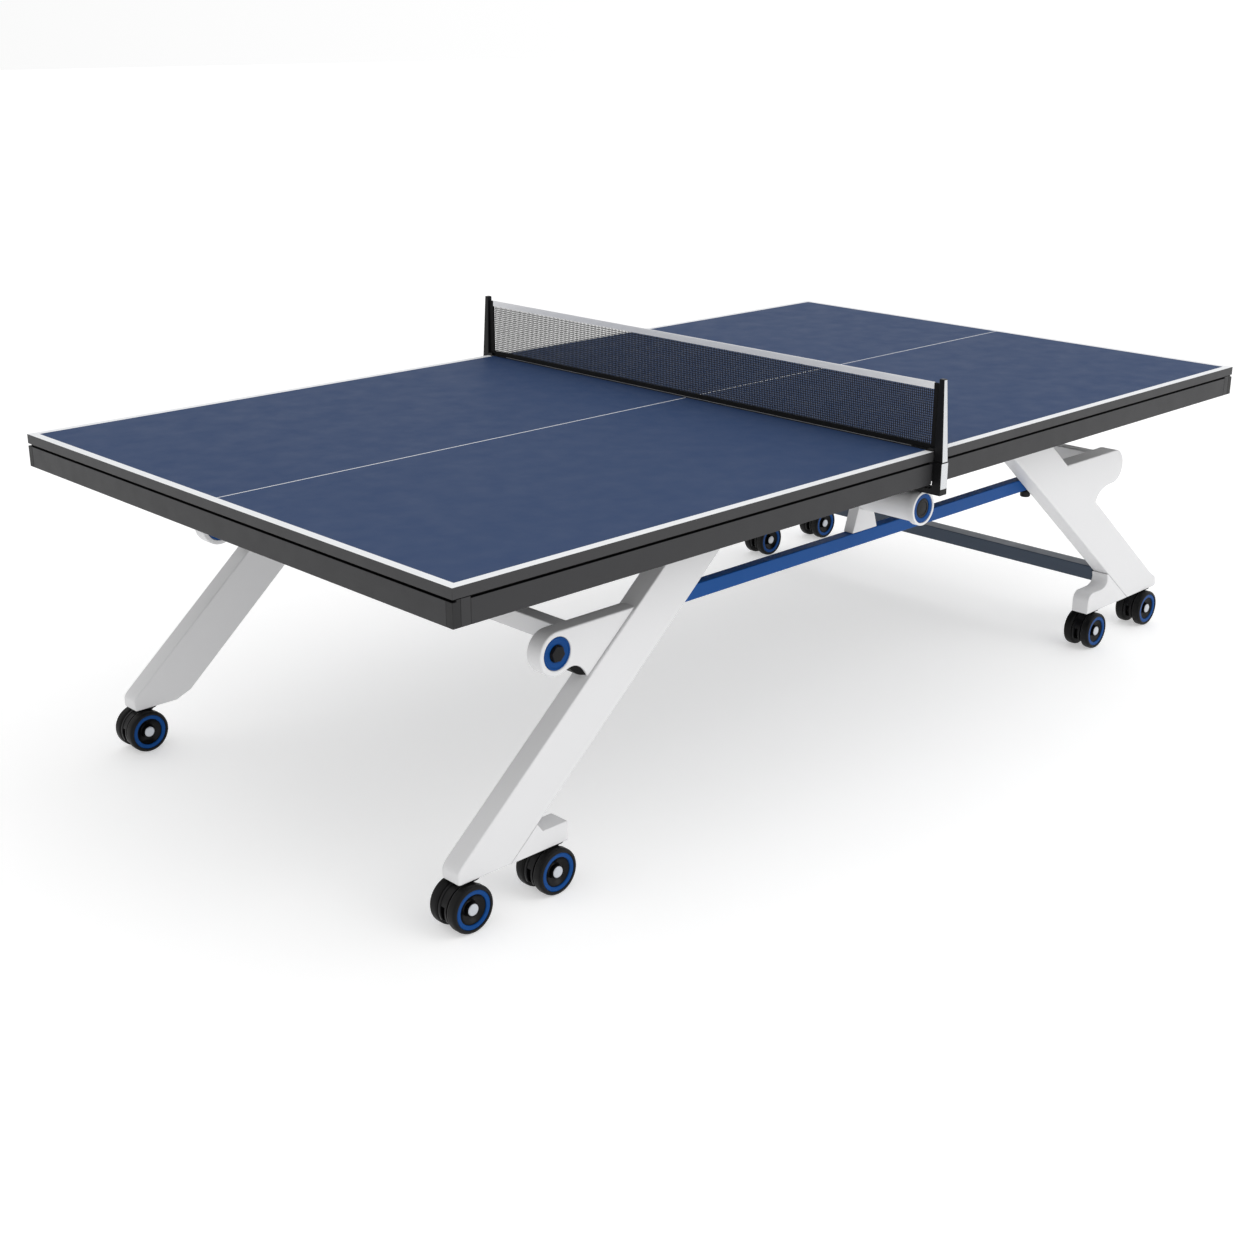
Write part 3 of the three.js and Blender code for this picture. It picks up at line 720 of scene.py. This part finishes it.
# %% Tape, hem and end strips
strip_length = net_end - END_STRIP - 0.4 * MM
top_tape = folded_strip("net_tape_top", tape_low.z, tape_high.z, FOLD_HALF, strip_length,
                        [WHITE_TAPE], ["net_top_tape"], True)
hem = folded_strip("net_hem", hem_low.z, hem_low.z + HEM_HIGH, FOLD_HALF, strip_length,
                   [BLACK_TAPE], ["net_bottom_tape"], False)
mesh = bmesh.new()
block(mesh, (-STRIP_HALF, -net_end + END_STRIP, hem_low.z - EDGE_DROP),
      (STRIP_HALF, net_end - END_STRIP, hem_low.z))
edge = piece("net_hem_edge", mesh, FRAME, [GREY_EDGE])
for side, way in SIDES:
    mesh = bmesh.new()
    for v in block(mesh, (-STRIP_HALF, net_end - END_STRIP, hem_low.z),
                   (STRIP_HALF, net_end, tape_high.z - 1 * MM)):
        v.co.y *= way
    bmesh.ops.recalc_face_normals(mesh, faces=mesh.faces)
    piece("net_end_strip_" + side, rounded(mesh, 0.8 * MM), FRAME, [BLACK_TAPE])
print("tape and hem", round(2 * strip_length / MM), "mm long")

# %% [markdown]
# The net and its two folded strips are soft goods.

# %% [markdown]
# ## Castors
# A castor has two wheels on one axle with a ribbed hood between them. Each wheel has a black tyre with
# rounded shoulders, a blue ring, a dished disc and a silver hub cap.

# %% Wheel profile
# Each pair is a radius and a depth in from the wheel's outer face, in mm. Each band has its own material.
WHEEL_HALF = 39
WHEEL_SECTIONS = [
    (TYRE, [(41.4, 3), (41.4, 1.4), (43, 0.4), (45, 0.3), (47.6, 1.6), (49.2, 4), (50, 7), (50, 19),
            (49, 22.5), (47, 24.5), (40, 25)]),
    (BLUE_PLASTIC, [(31.6, 4.5), (32.2, 2.6), (33.4, 2), (40, 1.6), (41.4, 3)]),
    (BLACK_PLASTIC, [(15, 13), (17, 15), (24, 13.5), (31, 7), (31.6, 4.5)]),
    (DARK_PLASTIC_AND_SHADE, [(12.3, 4), (13.6, 3.4), (14.8, 4.4), (15, 13)]),
    (SILVER, [(0, 1), (8, 1.2), (11, 1.8), (12.2, 3.2), (12.3, 4)]),
    (DARK_PLASTIC_AND_SHADE, [(40, 25), (6.2, 25), (6.2, WHEEL_HALF)]),
]


def wheels(name, centre):
    """Both wheels of a castor, with a material for each band of the profile."""
    mesh = bmesh.new()
    for k, (_, profile) in enumerate(WHEEL_SECTIONS):
        for way in (-1, 1):
            count = len(mesh.faces)
            turned(mesh, facing([(r, WHEEL_HALF - d) for r, d in profile], way), centre)
            mesh.faces.ensure_lookup_table()
            for face in mesh.faces[count:]:
                face.material_index = k
    bmesh.ops.remove_doubles(mesh, verts=mesh.verts, dist=1e-5)
    piece(f"castor_{name}_wheels", mesh, "castor_wheels_" + name, [m for m, _ in WHEEL_SECTIONS],
          ["castor_wheels_" + name])


# %% [markdown]
# The hood is one cross-section swept part of the way round the axle. A slot is sunk into its back, and a
# round stem joins it to the leg. The stem stands off the axle, so that the wheels trail.

# %% Hood
HOOD_HALF, HOOD_R, STEM_R, TRAIL = 13.2, 48, 23, 18
HOOD_FROM, HOOD_SWEEP, HOOD_STEPS = math.radians(-28), math.radians(236), 40
SLOT_FROM, SLOT_TO, SLOT_SUNK = 168, 212, 9 * MM


def hood(name, centre):
    """A part-turned shell with ribs, a slot at the back, and the round stem that enters the leg."""
    mesh = bmesh.new()
    section = [(18, -HOOD_HALF), (HOOD_R - 2, -HOOD_HALF), (HOOD_R, -HOOD_HALF + 1.2), (HOOD_R, -7),
               (HOOD_R - 1.4, -6.4), (HOOD_R - 1.4, 6.4), (HOOD_R, 7), (HOOD_R, HOOD_HALF - 1.2),
               (HOOD_R - 2, HOOD_HALF), (18, HOOD_HALF)]
    verts = [mesh.verts.new(centre + Vector((r * MM, d * MM, 0))) for r, d in section]
    face = mesh.faces.new(verts)
    bmesh.ops.rotate(mesh, verts=verts, cent=centre, matrix=Matrix.Rotation(-HOOD_FROM, 3, "Y"))
    bmesh.ops.spin(mesh, geom=[face], cent=centre, axis=(0, -1, 0), dvec=(0, 0, 0), angle=HOOD_SWEEP,
                   steps=HOOD_STEPS, use_duplicate=False)
    bmesh.ops.recalc_face_normals(mesh, faces=mesh.faces)
    slot_faces = []
    for face in mesh.faces:
        offset = face.calc_center_median() - centre
        bearing = math.degrees(math.atan2(offset.z, offset.x)) % 360
        outermost = math.hypot(offset.x, offset.z) > (HOOD_R - 3) * MM
        if outermost and abs(offset.y) < 3 * MM and SLOT_FROM < bearing < SLOT_TO:
            slot_faces.append(face)
    bmesh.ops.inset_region(mesh, faces=slot_faces, thickness=1.0 * MM, depth=0)
    bmesh.ops.inset_region(mesh, faces=slot_faces, thickness=0.4 * MM, depth=-SLOT_SUNK)
    for face in slot_faces:
        face.material_index = 1
    stem = Vector((centre.x + TRAIL * MM, centre.y, 0))
    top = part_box("castor_fork_" + name)[1].z / MM
    turned(mesh, [(0, top), (STEM_R - 0.6, top), (STEM_R, top - 0.6), (STEM_R, top - 2.6),
                  (STEM_R - 5, top - 5), (12, top - 12), (0, top - 12)], stem, axis="Z", steps=48)
    piece(f"castor_{name}_hood", mesh, "castor_fork_" + name, [BLACK_PLASTIC, DARK_PLASTIC_AND_SHADE],
          ["castor_fork_" + name])


# %% Castors
castors = [body[len("castor_fork_"):] for body in frame["bodies"] if body.startswith("castor_fork_")]
for name in castors:
    low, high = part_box("castor_wheels_" + name)
    centre = (low + high) / 2
    wheels(name, centre)
    hood(name, centre)
print(len(castors), "castors")

# %% [markdown]
# ## Studio
# The table stands on a pale light table in an even white surround, as for a catalogue. The floor gives off a
# little light of its own, so the shadow under the top stays soft. The surround is dimmer behind end A, and
# one broad lamp lights the near side, so the legs' narrow faces read darker than their wide ones.

# %% Floor, lamp and surround
FLOOR_SIZE, FLOOR_GLOW = 80, 0.42
DIM, BRIGHT = 0.72, 1.08
bpy.ops.mesh.primitive_plane_add(size=FLOOR_SIZE, location=(0, 0, 0))
floor = bpy.context.object
floor.name = "floor"
floor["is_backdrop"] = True
FLOOR = surface("studio_floor", linear(226, 226, 226), 0.7, 30, 0.0001, drift=0.01)
glow = FLOOR.node_tree.nodes["Principled BSDF"].inputs
glow["Specular IOR Level"].default_value = 0.15
glow["Emission Color"].default_value = (1, 1, 1, 1)
glow["Emission Strength"].default_value = FLOOR_GLOW
floor.data.materials.append(FLOOR)


def lamp(name, power, size, place, target):
    data = bpy.data.lights.new(name, "AREA")
    data.energy, data.size = power, size
    made = bpy.data.objects.new(name, data)
    made.location = place
    made.rotation_euler = (Vector(target) - Vector(place)).to_track_quat("-Z", "Y").to_euler()
    scene.collection.objects.link(made)


lamp("key", 75, 4.0, (1.5, -5.5, 4.5), (0, 0, 0.4))
world = bpy.data.worlds.new("surround")
world.use_nodes = True
sky = world.node_tree
towards = node(sky, "SeparateXYZ")
sky.links.new(node(sky, "TexCoord").outputs["Generated"], towards.inputs[0])
dimmed = node(sky, "MapRange")
for name, value in (("From Min", -1), ("From Max", 1), ("To Min", DIM), ("To Max", BRIGHT)):
    dimmed.inputs[name].default_value = value
sky.links.new(towards.outputs["X"], dimmed.inputs["Value"])
sky.links.new(dimmed.outputs["Result"], sky.nodes["Background"].inputs["Strength"])
sky.nodes["Background"].inputs["Color"].default_value = linear(253, 253, 253)
scene.world = world
print("floor", FLOOR_SIZE, "m, surround from", DIM, "to", BRIGHT)

# %% [markdown]
# ## Size and finish
# The imported model's box was printed at the start, and the visual model's box is printed here.

# %% Size and finish
low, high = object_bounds()
print("visual box", tuple(round(v, 4) for v in low), tuple(round(v, 4) for v in high))
